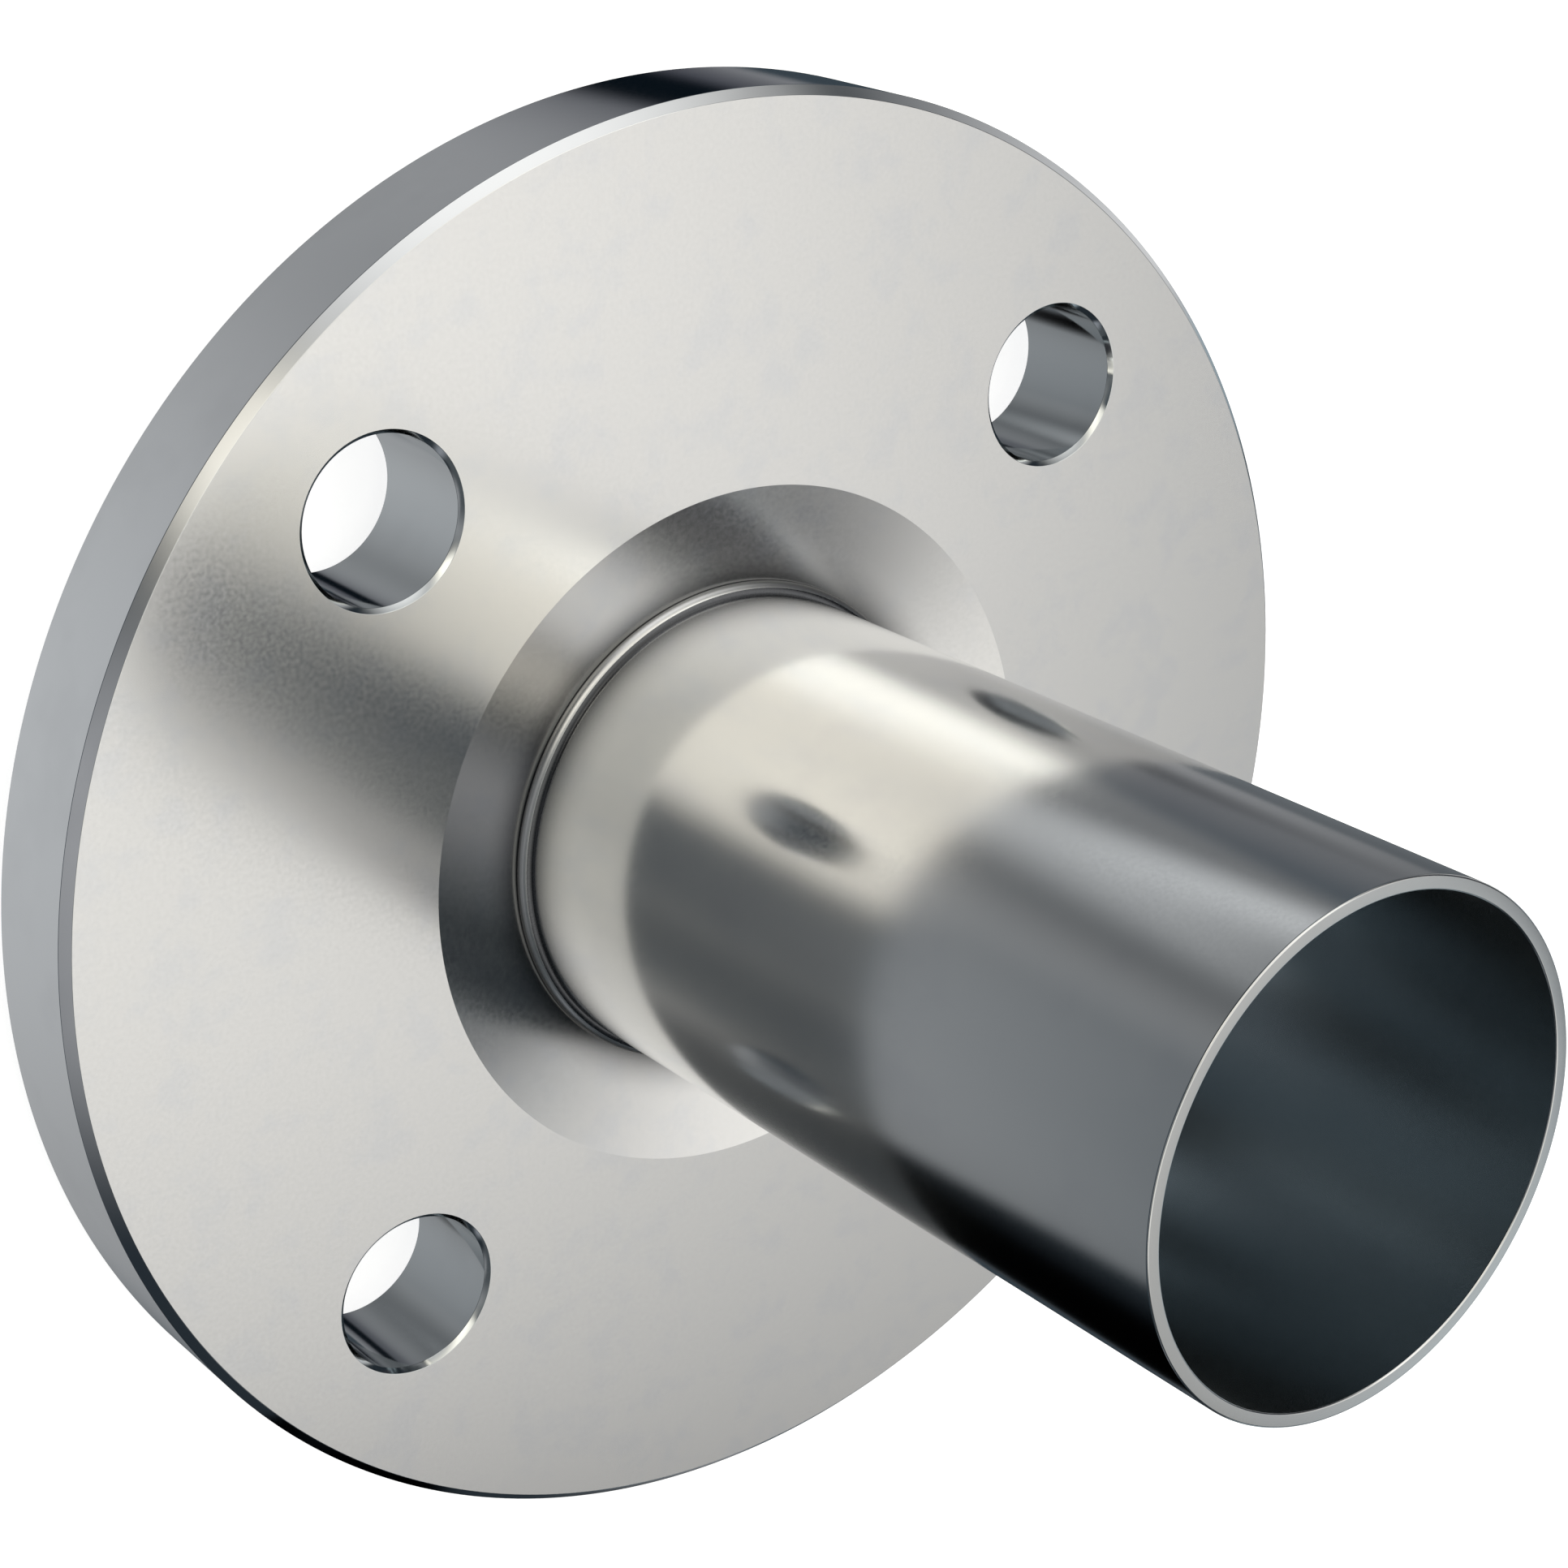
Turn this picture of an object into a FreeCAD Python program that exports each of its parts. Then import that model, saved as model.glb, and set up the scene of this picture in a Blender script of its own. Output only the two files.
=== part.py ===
import FreeCAD, Part
import math
import os

# Bolted pipe flange with a plain tube end welded through it.
# Millimetres. The origin is the centre of the sealing face and +Z runs along
# the tube, away from the joint, so the part rests on its sealing face.

# Flange disc
flange_diameter = 165.0
rim_thickness = 15.0
rim_chamfer = 1.0

# Bolt holes, set off the centre lines as on any pipe flange
bolt_count = 4
bolt_hole_diameter = 18.0
bolt_hole_chamfer = 0.5
bolt_edge_distance = 20.0

# Raised sealing face, which stays inside the ring of bolt holes
raised_face_height = 3.0
raised_face_margin = 2.5
step_fillet = 1.0

# Tube
tube_diameter = 54.0
tube_wall = 1.5
tube_reach = 96.0
tube_edge_break = 0.2

# Fit of the tube in the flange
bore_clearance = 0.4

# Shallow dish turned into the tube side of the disc, round the tube
dish_diameter = 79.2
dish_depth = 2.6

# Weld seam at the bottom of the dish
seam_width = 1.2
seam_rise = 1.1
seam_crown = 0.28
seam_bite = 0.4

# Root seam inside the bore, kept back from the sealing face
root_seam_height = 2.6
root_seam_setback = 1.2
root_seam_step = 0.2

# Places that follow from the sizes above
tube_side_z = raised_face_height + rim_thickness
tube_end_z = tube_side_z + tube_reach
tube_start_z = root_seam_setback + root_seam_height
rim_radius = flange_diameter / 2
bolt_circle_radius = rim_radius - bolt_edge_distance
raised_face_radius = bolt_circle_radius - bolt_hole_diameter / 2 - raised_face_margin
tube_radius = tube_diameter / 2
tube_inner_radius = tube_radius - tube_wall
bore_radius = tube_radius + bore_clearance
dish_radius = dish_diameter / 2
seam_radius = tube_radius + seam_width
seam_toe_z = tube_side_z - dish_depth
seam_top_z = seam_toe_z + seam_rise
groove_floor_z = seam_toe_z - (seam_radius - bore_radius)
bite_radius = tube_radius - seam_bite


def at(radius, height):
    """A point of a turned section, radius out from the axis and height up it."""
    return FreeCAD.Vector(radius, 0, height)


def line(start, end):
    return Part.LineSegment(start, end).toShape()


def crowned(start, end, crown):
    """An arc from start to end that bulges to the left of the way it runs."""
    chord = end - start
    side = FreeCAD.Vector(-chord.z, 0, chord.x).normalize()
    middle = (start + end) * 0.5 + side * crown
    return Part.Arc(start, middle, end).toShape()


def polyline(points):
    return [line(points[i], points[i + 1]) for i in range(len(points) - 1)]


def turn(edges):
    """A full turn of a closed section about the Z axis."""
    section = Part.Face(Part.Wire(edges))
    return section.revolve(FreeCAD.Vector(0, 0, 0), FreeCAD.Vector(0, 0, 1), 360)


def bolt_hole_tool():
    """What one drill and its countersinks take out, standing on the origin."""
    hole_radius = bolt_hole_diameter / 2
    mouth_radius = hole_radius + bolt_hole_chamfer
    low_z = raised_face_height
    high_z = tube_side_z
    run_out = 1.0
    points = [
        at(0, low_z - run_out),
        at(mouth_radius, low_z - run_out),
        at(mouth_radius, low_z),
        at(hole_radius, low_z + bolt_hole_chamfer),
        at(hole_radius, high_z - bolt_hole_chamfer),
        at(mouth_radius, high_z),
        at(mouth_radius, high_z + run_out),
        at(0, high_z + run_out),
        at(0, low_z - run_out),
    ]
    return turn(polyline(points))


def flange_plate():
    # The section runs up the bore and the weld groove, out over the dish and
    # the tube side, down the rim and back under the raised face.
    step_start = at(raised_face_radius + step_fillet, raised_face_height)
    step_end = at(raised_face_radius, raised_face_height - step_fillet)
    around = [
        at(raised_face_radius, 0),
        at(bore_radius, 0),
        at(bore_radius, groove_floor_z),
        at(seam_radius, seam_toe_z),
        at(dish_radius, tube_side_z),
        at(rim_radius - rim_chamfer, tube_side_z),
        at(rim_radius, tube_side_z - rim_chamfer),
        at(rim_radius, raised_face_height + rim_chamfer),
        at(rim_radius - rim_chamfer, raised_face_height),
        step_start,
    ]
    corner_centre = at(raised_face_radius + step_fillet, raised_face_height - step_fillet)
    slant = step_fillet * math.sqrt(0.5)
    step_middle = corner_centre + FreeCAD.Vector(-slant, 0, slant)
    step = Part.Arc(step_start, step_middle, step_end).toShape()
    edges = polyline(around) + [step, line(step_end, around[0])]
    plate = turn(edges)

    hole = bolt_hole_tool()
    for number in range(bolt_count):
        angle = 2 * math.pi * (number + 0.5) / bolt_count
        place = FreeCAD.Vector(math.cos(angle), math.sin(angle), 0) * bolt_circle_radius
        plate = plate.cut(hole.translated(place))
    return plate


def seam_root_line():
    """Where the seam has melted into the tube's wall, from the bottom up."""
    return [
        at(tube_radius, groove_floor_z),
        at(bite_radius, groove_floor_z),
        at(bite_radius, seam_top_z - seam_bite),
        at(tube_radius, seam_top_z),
    ]


def tube_stub():
    points = [
        at(tube_inner_radius, tube_start_z),
        at(tube_radius, tube_start_z),
        *seam_root_line(),
        at(tube_radius, tube_end_z - tube_edge_break),
        at(tube_radius - tube_edge_break, tube_end_z),
        at(tube_inner_radius + tube_edge_break, tube_end_z),
        at(tube_inner_radius, tube_end_z - tube_edge_break),
        at(tube_inner_radius, tube_start_z),
    ]
    return turn(polyline(points))


def weld_seam():
    """The seam fills the groove and stands up against the tube with a round crown."""
    toe = at(seam_radius, seam_toe_z)
    buried = [toe, at(bore_radius, groove_floor_z), *seam_root_line()]
    return turn(polyline(buried) + [crowned(buried[-1], toe, seam_crown)])


def root_seam():
    """The flat-faced seam in the corner between the tube's end and the flange's bore."""
    corner = at(bore_radius, tube_start_z)
    low = at(bore_radius, root_seam_setback)
    inner = at(tube_inner_radius + root_seam_step, tube_start_z)
    return turn(polyline([inner, corner, low, inner]))


os.makedirs("parts", exist_ok=True)
pieces = {
    "flange_plate": flange_plate(),
    "tube_stub": tube_stub(),
    "weld_seam": weld_seam(),
    "root_seam": root_seam(),
}
for name, shape in pieces.items():
    shape.exportStep("parts/" + name + ".step")
    print(name, "valid", shape.isValid(), "solids", len(shape.Solids), "volume", round(shape.Volume, 2))
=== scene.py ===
import math

import bpy
from mathutils import Matrix, Vector


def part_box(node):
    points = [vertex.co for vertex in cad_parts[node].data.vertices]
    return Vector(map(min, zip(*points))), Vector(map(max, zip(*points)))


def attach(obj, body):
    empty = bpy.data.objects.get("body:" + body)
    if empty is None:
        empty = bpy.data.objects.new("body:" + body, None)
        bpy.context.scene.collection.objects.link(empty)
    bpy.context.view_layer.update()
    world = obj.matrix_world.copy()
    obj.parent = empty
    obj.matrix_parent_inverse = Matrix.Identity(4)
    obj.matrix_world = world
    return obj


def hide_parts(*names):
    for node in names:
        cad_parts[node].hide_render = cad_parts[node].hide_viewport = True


# Stainless pipe flange with a plain tube end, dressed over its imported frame.
# The frame stands on its sealing face, so the photo's upward is -Y here.
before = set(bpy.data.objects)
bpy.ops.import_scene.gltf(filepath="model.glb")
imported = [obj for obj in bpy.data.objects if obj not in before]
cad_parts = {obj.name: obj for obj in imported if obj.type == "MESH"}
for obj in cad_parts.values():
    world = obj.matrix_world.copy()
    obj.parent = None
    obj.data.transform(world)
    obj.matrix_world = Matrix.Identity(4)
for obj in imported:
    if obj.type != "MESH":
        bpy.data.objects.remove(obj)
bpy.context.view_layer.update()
mm = 0.001
plateLow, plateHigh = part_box("flange_plate")
tubeLow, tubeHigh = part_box("tube_stub")
seamLow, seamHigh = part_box("weld_seam")
print("frame loaded:", ", ".join(sorted(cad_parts)))


# Colours and nodes
def linearFromHex(code):
    channels = [int(code[i:i + 2], 16) / 255 for i in (1, 3, 5)]
    return [c / 12.92 if c <= 0.04045 else ((c + 0.055) / 1.055) ** 2.4 for c in channels] + [1.0]


def addNode(tree, kind, settings={}, inputs={}):
    # an input is a plain value, or the socket that feeds it
    node = tree.nodes.new(kind)
    for key, value in settings.items():
        setattr(node, key, value)
    for key, value in inputs.items():
        if isinstance(value, bpy.types.NodeSocket):
            tree.links.new(value, node.inputs[key])
        else:
            node.inputs[key].default_value = value
    return node


def emptyMaterial(name):
    material = bpy.data.materials.new(name)
    material.use_nodes = True
    material.node_tree.nodes.clear()
    return material


# What all finishes share: cloudy patches show where the coarse noise is above patchFrom, the fine
# noise sets how rough the metal is from grainFrom to grainTo, and the painted shade near the seam fades by
# a power
allFinishes = {
    "cloudDetail": 3.0,
    "cloudRoughness": 0.55,
    "patchFrom": 0.46,
    "patchTo": 0.72,
    "grainDetail": 2.0,
    "grainRoughness": 0.6,
    "grainFrom": 0.3,
    "grainTo": 0.7,
    "bumpPerGrain": 0.02,
    "seamShadeFalloff": 2.0,
}


def heatTinted(tree, place, tone, finish):
    # painted shade: a soft darker band in the corner round the seam, strongest at the middle of the seam's
    # section
    spot = addNode(tree, "ShaderNodeSeparateXYZ", inputs={"Vector": place.outputs["Object"]})
    across = addNode(tree, "ShaderNodeCombineXYZ", inputs={"X": spot.outputs["X"], "Y": spot.outputs["Y"]})
    radius = addNode(tree, "ShaderNodeVectorMath", {"operation": "LENGTH"}, {0: across.outputs["Vector"]})
    outward = addNode(tree, "ShaderNodeMath", {"operation": "SUBTRACT"},
                      {0: radius.outputs["Value"], 1: (tubeHigh.x + seamHigh.x) / 2})
    upward = addNode(tree, "ShaderNodeMath", {"operation": "SUBTRACT"},
                     {0: spot.outputs["Z"], 1: (seamLow.z + seamHigh.z) / 2})
    apart = addNode(tree, "ShaderNodeCombineXYZ",
                    inputs={"X": outward.outputs["Value"], "Y": upward.outputs["Value"]})
    distance = addNode(tree, "ShaderNodeVectorMath", {"operation": "LENGTH"}, {0: apart.outputs["Vector"]})
    near = addNode(tree, "ShaderNodeMapRange",
                   inputs={"Value": distance.outputs["Value"], "From Min": 0.0,
                           "From Max": finish["seamShadeReach"], "To Min": 1.0, "To Max": 0.0})
    heated = addNode(tree, "ShaderNodeMath", {"operation": "POWER"},
                     {0: near.outputs["Result"], 1: allFinishes["seamShadeFalloff"]})
    return addNode(tree, "ShaderNodeMix", {"data_type": "RGBA"},
                   {"Factor": heated.outputs["Value"], "A": tone.outputs["Result"],
                    "B": linearFromHex(finish["paintedSeamShade"])})


# Metal finishes. All four pieces are austenitic stainless steel, whose bare metal is a
# slightly warm light grey. What differs is how smooth each surface was left, and where shade is painted
# into the colour.
def stainlessFinish(name, finish):
    material = emptyMaterial(name)
    tree = material.node_tree
    place = addNode(tree, "ShaderNodeTexCoord")
    # soft cloudy patches, as pickling and handling leave them
    cloud = addNode(tree, "ShaderNodeTexNoise",
                    inputs={"Vector": place.outputs["Object"], "Scale": 1 / finish["cloudSize"],
                            "Detail": allFinishes["cloudDetail"],
                            "Roughness": allFinishes["cloudRoughness"]})
    patch = addNode(tree, "ShaderNodeMapRange", {"interpolation_type": "SMOOTHSTEP"},
                    {"Value": cloud.outputs["Fac"], "From Min": allFinishes["patchFrom"],
                     "From Max": allFinishes["patchTo"]})
    tone = addNode(tree, "ShaderNodeMix", {"data_type": "RGBA"},
                   {"Factor": patch.outputs["Result"], "A": linearFromHex(finish["metal"]),
                    "B": linearFromHex(finish["patch"])})
    colour = tone
    # painted shade round the seam, where the finish has one
    if "paintedSeamShade" in finish:
        colour = heatTinted(tree, place, tone, finish)
    # fine grain of the surface, drawn as coarse as the render can show
    grain = addNode(tree, "ShaderNodeTexNoise",
                    inputs={"Vector": place.outputs["Object"], "Scale": 1 / finish["grainSize"],
                            "Detail": allFinishes["grainDetail"],
                            "Roughness": allFinishes["grainRoughness"]})
    rough = addNode(tree, "ShaderNodeMapRange",
                    inputs={"Value": grain.outputs["Fac"], "From Min": allFinishes["grainFrom"],
                            "From Max": allFinishes["grainTo"], "To Min": finish["smoothest"],
                            "To Max": finish["roughest"]})
    relief = addNode(tree, "ShaderNodeBump",
                     inputs={"Height": grain.outputs["Fac"], "Strength": finish["relief"],
                             "Distance": finish["grainSize"] * allFinishes["bumpPerGrain"]})
    metal = addNode(tree, "ShaderNodeBsdfPrincipled",
                    inputs={"Base Color": colour.outputs["Result"], "Metallic": 1.0,
                            "Roughness": rough.outputs["Result"], "Normal": relief.outputs["Normal"]})
    addNode(tree, "ShaderNodeOutputMaterial", inputs={"Surface": metal.outputs["BSDF"]})
    return material


# The seam entries give the colour of the shade painted round the seam and how far from the seam it reaches.
# Finishes away from the seam have none, and the weld metal keeps its own colour.
finishes = {
    # fine-turned and pickled disc: broad soft reflections, faint cloudy blotches, and a dark painted shade
    # in the dish round the seam
    "satinTurnedStainless": {"metal": "#dedddc", "patch": "#dadadb", "cloudSize": 5 * mm,
                             "grainSize": 0.5 * mm, "smoothest": 0.18, "roughest": 0.23, "relief": 0.04,
                             "paintedSeamShade": "#303234", "seamShadeReach": 5.8 * mm},
    # the rim and its chamfers were left by a sharper tool and are brighter
    "brightTurnedStainless": {"metal": "#e0e1e2", "patch": "#dbdcdd", "cloudSize": 12 * mm,
                              "grainSize": 0.4 * mm, "smoothest": 0.06, "roughest": 0.09, "relief": 0.01},
    # reamed bolt holes: smooth enough to show hard-edged dark stripes; a shade darker and bluer than the
    # rim, which is painted shade on the hole walls
    "reamedHole": {"metal": "#d1d4d5", "patch": "#cdd0d1", "cloudSize": 12 * mm,
                   "grainSize": 0.4 * mm, "smoothest": 0.07, "roughest": 0.1, "relief": 0.01},
    # gramophone finish of the sealing face: the grooves are modelled, the metal between is duller
    "groovedSealingFace": {"metal": "#d4d4d2", "patch": "#cccccb", "cloudSize": 12 * mm,
                           "grainSize": 0.4 * mm, "smoothest": 0.26, "roughest": 0.34, "relief": 0.1},
    # bright-drawn thin-walled tube: nearly a mirror, with painted shade at its root by the seam
    "brightDrawnTube": {"metal": "#dfdfde", "patch": "#dbdbdb", "cloudSize": 12 * mm,
                        "grainSize": 0.4 * mm, "smoothest": 0.13, "roughest": 0.16, "relief": 0.02,
                        "paintedSeamShade": "#999a9c", "seamShadeReach": 5.5 * mm},
    # inside of the tube, left by the mandrel: duller, so its repeated reflections run together; its metal
    # is a darker, bluer grey than the outside, painted shade for the inside of the tube
    "drawnTubeBore": {"metal": "#ced5d8", "patch": "#cad1d4", "cloudSize": 12 * mm,
                      "grainSize": 1.5 * mm, "smoothest": 0.2, "roughest": 0.21, "relief": 0.0,
                      "paintedSeamShade": "#999a9c", "seamShadeReach": 5.5 * mm},
    # crest of the bead, brushed after welding: one narrow bright line round the tube
    "brushedWeldBead": {"metal": "#d8d8d7", "patch": "#d2d2d2", "cloudSize": 6 * mm,
                        "grainSize": 0.3 * mm, "smoothest": 0.28, "roughest": 0.33, "relief": 0.02,
                        "paintedSeamShade": "#d8d8d7", "seamShadeReach": 4.5 * mm},
    # the corners on both sides of the crest: a dark metal colour that paints the shade in them
    "oxideInWeldCorner": {"metal": "#646568", "patch": "#5c5d60", "cloudSize": 3 * mm,
                          "grainSize": 0.3 * mm, "smoothest": 0.2, "roughest": 0.3, "relief": 0.05,
                          "paintedSeamShade": "#646568", "seamShadeReach": 4.5 * mm},
}
materials = {name: stainlessFinish(name, finish) for name, finish in finishes.items()}
print("finishes made:", ", ".join(materials))


# Turned sections: corners are (radius, height, rounding), run so that the metal is on the left
def roundedSection(corners, steps=5):
    points = []
    count = len(corners)
    for i, (radius, height, rounding) in enumerate(corners):
        here = Vector((radius, height))
        if rounding == 0:
            points.append(here)
            continue
        before = Vector(corners[i - 1][:2]) - here
        after = Vector(corners[(i + 1) % count][:2]) - here
        half = before.angle(after) / 2
        reach = rounding / math.tan(half)
        start = here + before.normalized() * reach
        end = here + after.normalized() * reach
        inward = (before.normalized() + after.normalized()).normalized()
        centre = here + inward * (rounding / math.sin(half))
        spokes = (start - centre, end - centre)
        swing = spokes[0].angle_signed(spokes[1])
        for step in range(steps + 1):
            spoke = spokes[0].copy()
            spoke.rotate(Matrix.Rotation(-swing * step / steps, 2))
            points.append(centre + spoke)
    return points


def turnedMesh(name, section, facets):
    # a full turn of the section about Z; a point on the axis stays one vertex
    verts = []
    rings = []
    for radius, height in section:
        if radius == 0:
            rings.append([len(verts)] * facets)
            verts.append((0, 0, height))
            continue
        rings.append(range(len(verts), len(verts) + facets))
        for k in range(facets):
            angle = 2 * math.pi * k / facets
            verts.append((radius * math.cos(angle), radius * math.sin(angle), height))
    faces = []
    for lower, upper in zip(rings, rings[1:] + rings[:1]):
        for k in range(facets):
            n = (k + 1) % facets
            face = list(dict.fromkeys((lower[k], lower[n], upper[n], upper[k])))
            if len(face) > 2:
                faces.append(face)
    mesh = bpy.data.meshes.new(name)
    mesh.from_pydata(verts, [], faces)
    mesh.validate()
    return mesh


def addPiece(name, mesh, material=None):
    piece = bpy.data.objects.new(name, mesh)
    bpy.context.scene.collection.objects.link(piece)
    if material:
        mesh.materials.append(material)
    return piece


def bakeModifiers(piece):
    # swaps the live result for a plain mesh and clears the modifiers
    bpy.context.view_layer.update()
    live = piece.evaluated_get(bpy.context.evaluated_depsgraph_get())
    plain = bpy.data.meshes.new_from_object(live)
    piece.modifiers.clear()
    piece.data = plain
    plain.name = piece.name


def smoothTurned(piece, sharpAngle=35):
    # rounded edges take their shading from the large faces beside them
    piece.data.shade_smooth()
    piece.data.set_sharp_from_angle(angle=math.radians(sharpAngle))
    weighted = piece.modifiers.new("edgeShading", "WEIGHTED_NORMAL")
    weighted.keep_sharp = True
    weighted.weight = 100
    bakeModifiers(piece)


def dress(piece, node):
    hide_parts(node)
    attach(piece, "root")
    print(piece.name, "stands for", node, "with", len(piece.data.polygons), "faces")


# Flange disc
disc = {
    "boreRadius": 27.4 * mm,
    "raisedFaceRadius": 51 * mm,
    "raisedFaceHeight": 3 * mm,
    "stepFillet": 1 * mm,
    "rimChamfer": 1 * mm,
    "dishRadius": 39.6 * mm,
    "dishDepth": 2.6 * mm,
    "edgeRound": 0.12 * mm,
    "grooveInner": 28.4 * mm,
    "grooveOuter": 50.2 * mm,
    "groovePitch": 0.8 * mm,
    "grooveDepth": 0.05 * mm,
    "grooveSteps": 4,
    "boltCount": 4,
    "boltCircleRadius": 62.5 * mm,
    "firstBoltAngle": math.radians(45),
    "holeRadius": 9 * mm,
    "holeChamfer": 0.5 * mm,
    "holeEdgeRound": 0.08 * mm,
    "drillOver": 1 * mm,
    "flatWithin": math.radians(18),
    "sharpAngle": 20,
    "facets": 320,
    "holeFacets": 96,
}
rimRadius = plateHigh.x
tubeSide = plateHigh.z
seamRadius = seamHigh.x


def discSection():
    d = disc
    face = d["raisedFaceHeight"]
    chamfer = d["rimChamfer"]
    edge = d["edgeRound"]
    corners = [(d["boreRadius"], 0, edge)]
    # gramophone grooves, each a shallow hollow left by the tool's round nose, with sharp crests between
    grooves = int((d["grooveOuter"] - d["grooveInner"]) / d["groovePitch"])
    for k in range(grooves * d["grooveSteps"] + 1):
        part = k / d["grooveSteps"] % 1
        height = d["grooveDepth"] * 4 * part * (1 - part)
        corners.append((d["grooveInner"] + d["groovePitch"] * k / d["grooveSteps"], height, 0))
    corners += [
        (d["raisedFaceRadius"], 0, edge),
        (d["raisedFaceRadius"], face, d["stepFillet"]),
        (rimRadius - chamfer, face, edge),
        (rimRadius, face + chamfer, edge),
        (rimRadius, tubeSide - chamfer, edge),
        (rimRadius - chamfer, tubeSide, edge),
        (d["dishRadius"], tubeSide, edge),
        (seamRadius, tubeSide - d["dishDepth"], 0),
        (d["boreRadius"], seamLow.z, 0),
    ]
    return roundedSection(corners)


def drillSection():
    # what one drill and its two countersinks take out; a slight slope from just outside the flat face
    # leads into each mouth, so that its edge comes out rounded
    d = disc
    low = d["raisedFaceHeight"]
    high = tubeSide
    mouth = d["holeRadius"] + d["holeChamfer"]
    edge = d["holeEdgeRound"]
    over = d["drillOver"]
    flare = edge * math.tan(math.radians(22.5))
    return roundedSection([
        (0, low - over, 0),
        (mouth + flare * 2, low - over, 0),
        (mouth + flare * 2, low - edge * 0.1, 0),
        (mouth, low + edge * 0.2, edge),
        (d["holeRadius"], low + d["holeChamfer"], edge),
        (d["holeRadius"], high - d["holeChamfer"], edge),
        (mouth, high - edge * 0.2, edge),
        (mouth + flare * 2, high + edge * 0.1, 0),
        (mouth + flare * 2, high + over, 0),
        (0, high + over, 0),
    ])


def boltHoleTree(edgeFinish, flatFinish, sealingFinish):
    # drills the bolt circle through the blank and gives the flat sides their own finishes; the walls
    # of the holes keep the drill's finish
    tree = bpy.data.node_groups.new("boltCircle", "GeometryNodeTree")
    tree.interface.new_socket("Geometry", in_out="INPUT", socket_type="NodeSocketGeometry")
    tree.interface.new_socket("Drill", in_out="INPUT", socket_type="NodeSocketObject")
    tree.interface.new_socket("Bolt Count", in_out="INPUT", socket_type="NodeSocketInt")
    tree.interface.new_socket("Circle Radius", in_out="INPUT", socket_type="NodeSocketFloat")
    tree.interface.new_socket("First Angle", in_out="INPUT", socket_type="NodeSocketFloat")
    tree.interface.new_socket("Flatness", in_out="INPUT", socket_type="NodeSocketFloat")
    tree.interface.new_socket("Sealing Height", in_out="INPUT", socket_type="NodeSocketFloat")
    tree.interface.new_socket("Geometry", in_out="OUTPUT", socket_type="NodeSocketGeometry")
    given = addNode(tree, "NodeGroupInput").outputs
    coated = addNode(tree, "GeometryNodeSetMaterial",
                     inputs={"Geometry": given["Geometry"], "Material": edgeFinish})
    circle = addNode(tree, "GeometryNodeMeshCircle",
                     inputs={"Vertices": given["Bolt Count"], "Radius": given["Circle Radius"]})
    turn = addNode(tree, "ShaderNodeCombineXYZ", inputs={"Z": given["First Angle"]})
    placed = addNode(tree, "GeometryNodeTransform",
                     inputs={"Geometry": circle.outputs["Mesh"], "Rotation": turn.outputs["Vector"]})
    drill = addNode(tree, "GeometryNodeObjectInfo", inputs={"Object": given["Drill"]})
    drills = addNode(tree, "GeometryNodeInstanceOnPoints",
                     inputs={"Points": placed.outputs["Geometry"], "Instance": drill.outputs["Geometry"]})
    real = addNode(tree, "GeometryNodeRealizeInstances", inputs={"Geometry": drills.outputs["Instances"]})
    cut = addNode(tree, "GeometryNodeMeshBoolean", {"operation": "DIFFERENCE", "solver": "EXACT"},
                  {"Mesh 1": coated.outputs["Geometry"], "Mesh 2": real.outputs["Geometry"]})
    whole = addNode(tree, "GeometryNodeRealizeInstances", inputs={"Geometry": cut.outputs["Mesh"]})
    facing = addNode(tree, "ShaderNodeSeparateXYZ",
                     inputs={"Vector": addNode(tree, "GeometryNodeInputNormal").outputs["Normal"]})
    tilt = addNode(tree, "ShaderNodeMath", {"operation": "ABSOLUTE"}, {0: facing.outputs["Z"]})
    flat = addNode(tree, "FunctionNodeCompare", {"operation": "GREATER_THAN", "data_type": "FLOAT"},
                   {"A": tilt.outputs["Value"], "B": given["Flatness"]})
    sided = addNode(tree, "GeometryNodeSetMaterial",
                    inputs={"Geometry": whole.outputs["Geometry"], "Selection": flat.outputs["Result"],
                            "Material": flatFinish})
    height = addNode(tree, "ShaderNodeSeparateXYZ",
                     inputs={"Vector": addNode(tree, "GeometryNodeInputPosition").outputs["Position"]})
    low = addNode(tree, "FunctionNodeCompare", {"operation": "LESS_THAN", "data_type": "FLOAT"},
                  {"A": height.outputs["Z"], "B": given["Sealing Height"]})
    faced = addNode(tree, "GeometryNodeSetMaterial",
                    inputs={"Geometry": sided.outputs["Geometry"], "Selection": low.outputs["Result"],
                            "Material": sealingFinish})
    addNode(tree, "NodeGroupOutput", inputs={"Geometry": faced.outputs["Geometry"]})
    return tree


def setInputs(modifier, values):
    for item in modifier.node_group.interface.items_tree:
        if item.in_out == "INPUT" and item.name in values:
            modifier[item.identifier] = values[item.name]


def makeDisc():
    drillMesh = turnedMesh("drill", drillSection(), disc["holeFacets"])
    # the drill carries the hole walls' finish, with its painted shade
    drill = addPiece("drill", drillMesh, materials["reamedHole"])
    piece = addPiece("flangeDisc", turnedMesh("flangeDisc", discSection(), disc["facets"]))
    pattern = piece.modifiers.new("boltCircle", "NODES")
    pattern.node_group = boltHoleTree(materials["brightTurnedStainless"], materials["satinTurnedStainless"],
                                      materials["groovedSealingFace"])
    setInputs(pattern, {
        "Drill": drill,
        "Bolt Count": disc["boltCount"],
        "Circle Radius": disc["boltCircleRadius"],
        "First Angle": disc["firstBoltAngle"],
        "Flatness": math.cos(disc["flatWithin"]),
        "Sealing Height": disc["grooveDepth"] * 1.5,
    })
    bakeModifiers(piece)
    bpy.data.objects.remove(drill)
    smoothTurned(piece, disc["sharpAngle"])
    dress(piece, "flange_plate")


makeDisc()


# Tube stub, cut square and deburred at its end
tube = {
    "wall": 1.5 * mm,
    "edgeBreak": 0.2 * mm,
    "wallTilt": 0.3,
    "facets": 256,
}


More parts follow.
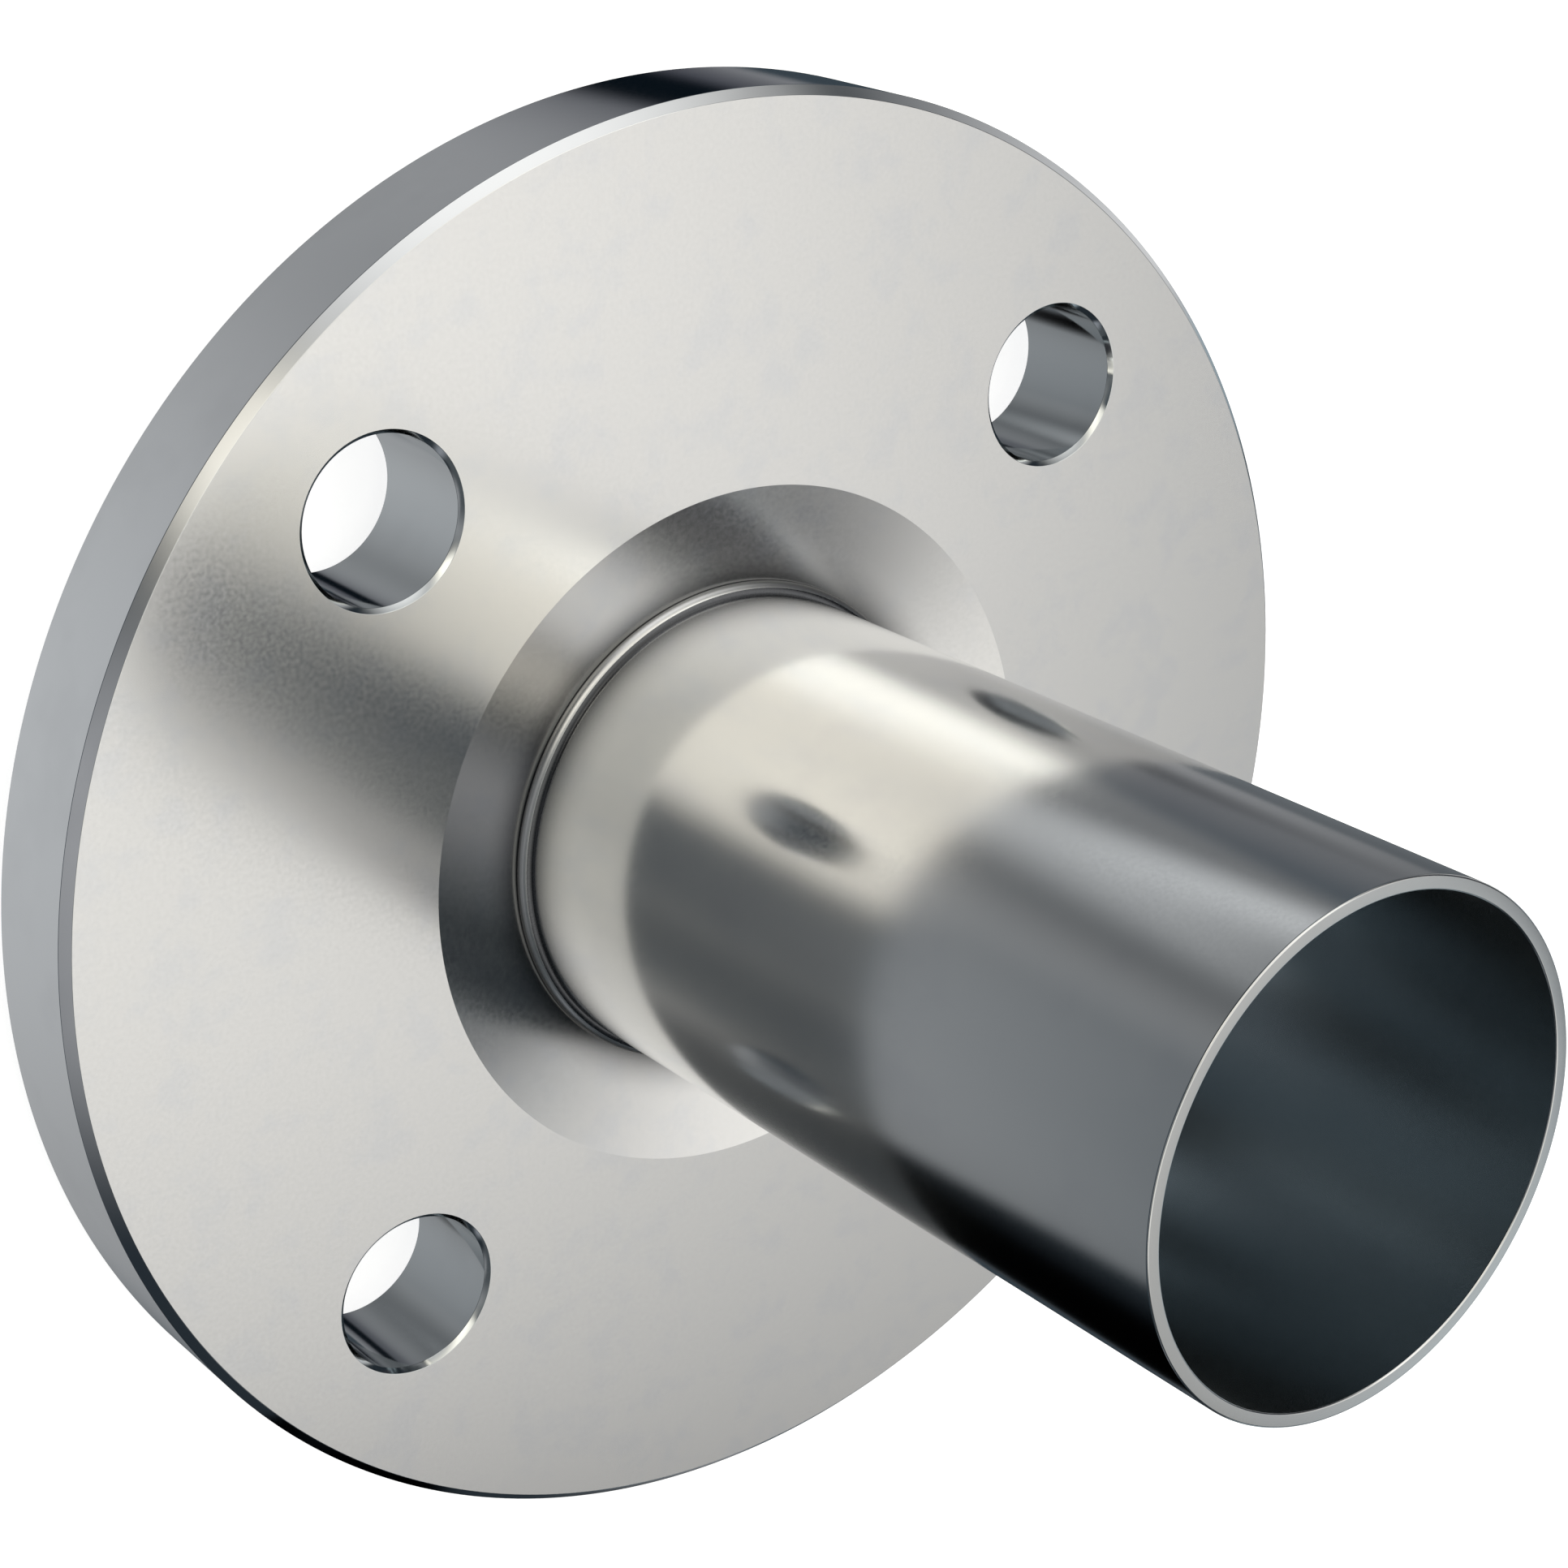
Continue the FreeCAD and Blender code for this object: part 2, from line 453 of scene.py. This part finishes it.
def makeTube():
    outer = tubeHigh.x
    inner = outer - tube["wall"]
    edge = tube["edgeBreak"]
    section = roundedSection([
        (inner, tubeLow.z, 0),
        (outer, tubeLow.z, 0),
        (outer, tubeHigh.z, edge),
        (inner, tubeHigh.z, edge),
    ])
    mesh = turnedMesh("tubeStub", section, tube["facets"])
    piece = addPiece("tubeStub", mesh, materials["brightDrawnTube"])
    # the wall facing the axis takes the bore's finish, with its painted shade
    mesh.materials.append(materials["drawnTubeBore"])
    for face in mesh.polygons:
        facesAxis = face.normal.x * face.center.x + face.normal.y * face.center.y < 0
        if facesAxis and abs(face.normal.z) < tube["wallTilt"]:
            face.material_index = 1
    smoothTurned(piece)
    dress(piece, "tube_stub")


makeTube()


# Weld seam at the bottom of the dish: a low round bead from the toe up to the tube, brushed
# bright along its crest, with shade painted dark at both of its edges
seam = {
    "toeSide": 0.12 * mm,
    "toeLean": 0.2,
    "crown": 0.27 * mm,
    "unshadedTiltFrom": math.radians(14),
    "unshadedTiltTo": math.radians(61),
    "facets": 256,
    "steps": 14,
}


def makeSeam():
    wall = tubeHigh.x
    toe = Vector((seamRadius, tubeSide - disc["dishDepth"]))
    foot = toe + Vector((-seam["toeLean"], 1)) * seam["toeSide"]
    top = Vector((wall, seamHigh.z))
    # the crown is an arc from foot to top that rises crown above its chord
    chord = top - foot
    outward = Vector((chord.y, -chord.x)).normalized()
    reach = (chord.length ** 2 / 4 + seam["crown"] ** 2) / (2 * seam["crown"])
    centre = (foot + top) / 2 - outward * (reach - seam["crown"])
    swing = (foot - centre).angle_signed(top - centre)
    section = [Vector((wall, seamLow.z)), Vector((disc["boreRadius"], seamLow.z)), toe]
    for step in range(seam["steps"] + 1):
        spoke = foot - centre
        spoke.rotate(Matrix.Rotation(-swing * step / seam["steps"], 2))
        section.append(centre + spoke)
    mesh = turnedMesh("weldSeam", section, seam["facets"])
    piece = addPiece("weldSeam", mesh, materials["brushedWeldBead"])
    # faces tilted outside the crest's range take the dark material, painted shade in the bead's corners
    mesh.materials.append(materials["oxideInWeldCorner"])
    for face in mesh.polygons:
        if not math.sin(seam["unshadedTiltFrom"]) < face.normal.z < math.sin(seam["unshadedTiltTo"]):
            face.material_index = 1
    smoothTurned(piece)
    dress(piece, "weld_seam")


makeSeam()


# Root seam in the corner between the tube's end and the bore, on the hidden side
rootSeam = {
    "step": 0.2 * mm,
    "edgeRound": 0.15 * mm,
    "facets": 192,
}


def makeRootSeam():
    low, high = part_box("root_seam")
    inner = tubeHigh.x - tube["wall"] + rootSeam["step"]
    section = roundedSection([
        (high.x, low.z, 0),
        (high.x, high.z, 0),
        (inner, high.z, rootSeam["edgeRound"]),
    ])
    mesh = turnedMesh("rootSeam", section, rootSeam["facets"])
    piece = addPiece("rootSeam", mesh, materials["brushedWeldBead"])
    smoothTurned(piece)
    dress(piece, "root_seam")


makeRootSeam()


# Floor: a pale matt table that glows a little, so that the bolt holes look bright as in the photo
floor = {
    "halfSide": 1.5,
    "matt": "#e9e9e8",
    "speckle": "#eeeeed",
    "specklesPerMetre": 8,
    "glow": 0.8,
}


def makeFloor():
    s = floor["halfSide"]
    mesh = bpy.data.meshes.new("studioFloor")
    mesh.from_pydata([(-s, -s, 0), (s, -s, 0), (s, s, 0), (-s, s, 0)], [], [(0, 1, 2, 3)])
    material = emptyMaterial("paleMattTable")
    tree = material.node_tree
    place = addNode(tree, "ShaderNodeTexCoord")
    speckle = addNode(tree, "ShaderNodeTexNoise",
                      inputs={"Vector": place.outputs["Object"], "Scale": floor["specklesPerMetre"]})
    tone = addNode(tree, "ShaderNodeMix", {"data_type": "RGBA"},
                   {"Factor": speckle.outputs["Fac"], "A": linearFromHex(floor["matt"]),
                    "B": linearFromHex(floor["speckle"])})
    matt = addNode(tree, "ShaderNodeBsdfPrincipled",
                   inputs={"Base Color": tone.outputs["Result"], "Roughness": 0.9,
                           "Specular IOR Level": 0.1, "Emission Color": linearFromHex("#ffffff"),
                           "Emission Strength": floor["glow"]})
    addNode(tree, "ShaderNodeOutputMaterial", inputs={"Surface": matt.outputs["BSDF"]})
    piece = addPiece("studioFloor", mesh, material)
    piece.visible_glossy = False  # the metal reflects the studio below the table's height, as in the photo
    print("table laid, half a side is", floor["halfSide"], "m")


makeFloor()

# Studio: soft boxes and dark flags far away, laid over each other in this order. Azimuth is
# measured from the tube's axis towards the photo's right, height upwards in the photo, both
# in degrees. half is the half size each way and soft the width of its edges.
studioPanels = [
    {"what": "pale wall behind", "azimuth": 184, "height": -3, "half": (54, 31), "soft": (10, 30),
     "tint": "#fbfdff", "light": 0.83},
    {"what": "strip high on that wall", "azimuth": 160, "height": 48, "half": (32, 3), "soft": (30, 4),
     "tint": "#f8fcff", "light": 0.84},
    {"what": "right wall", "azimuth": 85, "height": -35, "half": (37, 33), "soft": (2, 3),
     "tint": "#e2f5ff", "light": 0.49},
    {"what": "left wall", "azimuth": -58, "height": -13, "half": (11, 28), "soft": (14, 16),
     "tint": "#f9fbff", "light": 0.51},
    {"what": "ceiling", "azimuth": 21, "height": 79, "half": (63, 24), "soft": (8, 22),
     "tint": "#fffffd", "light": 1.39},
    {"what": "main box above", "azimuth": -12, "height": 33, "half": (38, 11), "soft": (9, 13),
     "tint": "#fffaed", "light": 2.55},
    {"what": "hot end of the main box", "azimuth": 26, "height": 32, "half": (11, 8), "soft": (3, 3),
     "tint": "#fffff7", "light": 3.0},
    {"what": "front box", "azimuth": 8, "height": -3, "half": (34, 31), "soft": (30, 22),
     "tint": "#fffefb", "light": 1.65},
    {"what": "dimmed middle of that box", "azimuth": -8, "height": 5, "half": (27, 32), "soft": (29, 8),
     "tint": "#fffff7", "light": 0.75},
    {"what": "left flag", "azimuth": -33, "height": 7, "half": (13, 13), "soft": (7, 5),
     "tint": "#d6ecff", "light": 0.11},
    {"what": "low left flag", "azimuth": -43, "height": -37, "half": (17, 36), "soft": (2, 19),
     "tint": "#e9f6ff", "light": 0.12},
    {"what": "right flag", "azimuth": 61, "height": 7, "half": (11, 33), "soft": (2, 6),
     "tint": "#e8ecff", "light": 0.05},
    {"what": "dark floor in front", "azimuth": 13, "height": -45, "half": (59, 8), "soft": (9, 6),
     "tint": "#b0d8f0", "light": 0.03},
    {"what": "dark floor behind", "azimuth": 198, "height": -63, "half": (54, 22), "soft": (2, 3),
     "tint": "#ffffff", "light": 0.0},
    {"what": "low strip by the camera", "azimuth": -40, "height": -70, "half": (25, 5), "soft": (8, 5),
     "tint": "#ecf2fc", "light": 0.4},
    {"what": "gap from left to back", "azimuth": -119, "height": -10, "half": (23, 44), "soft": (30, 10),
     "tint": "#b8d8f0", "light": 0.1},
    {"what": "corner high on the right", "azimuth": 129, "height": 47, "half": (15, 18), "soft": (4, 20),
     "tint": "#b8d8f0", "light": 0.12},
    {"what": "black flag behind right", "azimuth": 145, "height": 13, "half": (14, 17), "soft": (16, 16),
     "tint": "#c8d0ec", "light": 0.08},
    {"what": "blackest part of that flag", "azimuth": 146, "height": 14.5, "half": (12, 4), "soft": (8, 2),
     "tint": "#80c0f0", "light": 0.01},
    {"what": "low flag behind right", "azimuth": 144, "height": -20, "half": (19, 22), "soft": (18, 2),
     "tint": "#b8d8f0", "light": 0.08},
    {"what": "narrow box on the right", "azimuth": 99, "height": 4, "half": (14, 22), "soft": (3, 28),
     "tint": "#fdfeff", "light": 0.78},
]
room = {"tint": "#c0dcf4", "light": 0.045, "backdrop": 1.0}


def makeStudio():
    world = bpy.data.worlds.new("softStudio")
    bpy.context.scene.world = world
    world.use_nodes = True
    tree = world.node_tree
    tree.nodes.clear()
    towards = addNode(tree, "ShaderNodeTexCoord")
    axes = addNode(tree, "ShaderNodeSeparateXYZ", inputs={"Vector": towards.outputs["Generated"]})
    right = addNode(tree, "ShaderNodeMath", {"operation": "MULTIPLY"}, {0: axes.outputs["X"], 1: -1.0})
    upward = addNode(tree, "ShaderNodeMath", {"operation": "MULTIPLY"}, {0: axes.outputs["Y"], 1: -1.0})
    azimuth = addNode(tree, "ShaderNodeMath", {"operation": "ARCTAN2"},
                      {0: right.outputs["Value"], 1: axes.outputs["Z"]})
    azimuthDegrees = addNode(tree, "ShaderNodeMath", {"operation": "DEGREES"},
                             {0: azimuth.outputs["Value"]})
    height = addNode(tree, "ShaderNodeMath", {"operation": "ARCSINE"}, {0: upward.outputs["Value"]})
    heightDegrees = addNode(tree, "ShaderNodeMath", {"operation": "DEGREES"}, {0: height.outputs["Value"]})
    light = [c * room["light"] for c in linearFromHex(room["tint"])[:3]] + [1.0]
    for panel in studioPanels:
        across = addNode(tree, "ShaderNodeMath", {"operation": "SUBTRACT"},
                         {0: azimuthDegrees.outputs["Value"], 1: float(panel["azimuth"])})
        across = addNode(tree, "ShaderNodeMath", {"operation": "WRAP"},
                         {0: across.outputs["Value"], 1: 180.0, 2: -180.0})
        along = addNode(tree, "ShaderNodeMath", {"operation": "SUBTRACT"},
                        {0: heightDegrees.outputs["Value"], 1: float(panel["height"])})
        masks = []
        for offset, half, soft in zip((across, along), panel["half"], panel["soft"]):
            away = addNode(tree, "ShaderNodeMath", {"operation": "ABSOLUTE"}, {0: offset.outputs["Value"]})
            masks.append(addNode(tree, "ShaderNodeMapRange", {"interpolation_type": "SMOOTHSTEP"},
                                 {"Value": away.outputs["Value"], "From Min": float(half - soft),
                                  "From Max": float(half + soft), "To Min": 1.0, "To Max": 0.0}))
        mask = addNode(tree, "ShaderNodeMath", {"operation": "MULTIPLY"},
                       {0: masks[0].outputs["Result"], 1: masks[1].outputs["Result"]})
        tint = [c * panel["light"] for c in linearFromHex(panel["tint"])[:3]] + [1.0]
        light = addNode(tree, "ShaderNodeMix", {"data_type": "RGBA"},
                        {"Factor": mask.outputs["Value"], "A": light, "B": tint}).outputs["Result"]
    studio = addNode(tree, "ShaderNodeBackground", inputs={"Color": light, "Strength": 1.0})
    plain = addNode(tree, "ShaderNodeBackground",
                    inputs={"Color": linearFromHex("#ffffff"), "Strength": room["backdrop"]})
    ray = addNode(tree, "ShaderNodeLightPath")
    seen = addNode(tree, "ShaderNodeMixShader",
                   inputs={0: ray.outputs["Is Camera Ray"], 1: studio.outputs["Background"],
                           2: plain.outputs["Background"]})
    addNode(tree, "ShaderNodeOutputWorld", inputs={"Surface": seen.outputs["Shader"]})
    bpy.context.scene.view_settings.view_transform = "Standard"
    print("studio has", len(studioPanels), "soft boxes and flags")


makeStudio()

# Camera, fitted to the photo's rims, holes and tube end
camera = {
    "place": Vector((205.05, -144.48, 297.69)) * mm,
    "aim": Vector((-5.95, -4.09, 18.0)) * mm,
    "upward": Vector((0, -1, 0)),
    "roll": math.radians(0.17),
    "lens": 76.94,
}


def makeCamera():
    data = bpy.data.cameras.new("photoCamera")
    data.lens = camera["lens"]
    data.sensor_width = 36
    data.clip_start = 0.01
    back = (camera["place"] - camera["aim"]).normalized()
    right = camera["upward"].cross(back).normalized()
    turn = Matrix((right, back.cross(right), back)).transposed()
    turn = turn @ Matrix.Rotation(camera["roll"], 3, "Z")
    piece = bpy.data.objects.new("photoCamera", data)
    piece.matrix_world = Matrix.Translation(camera["place"]) @ turn.to_4x4()
    bpy.context.scene.collection.objects.link(piece)
    bpy.context.scene.camera = piece
    print("camera stands", round((camera["place"] - camera["aim"]).length / mm), "mm from what it looks at")


makeCamera()
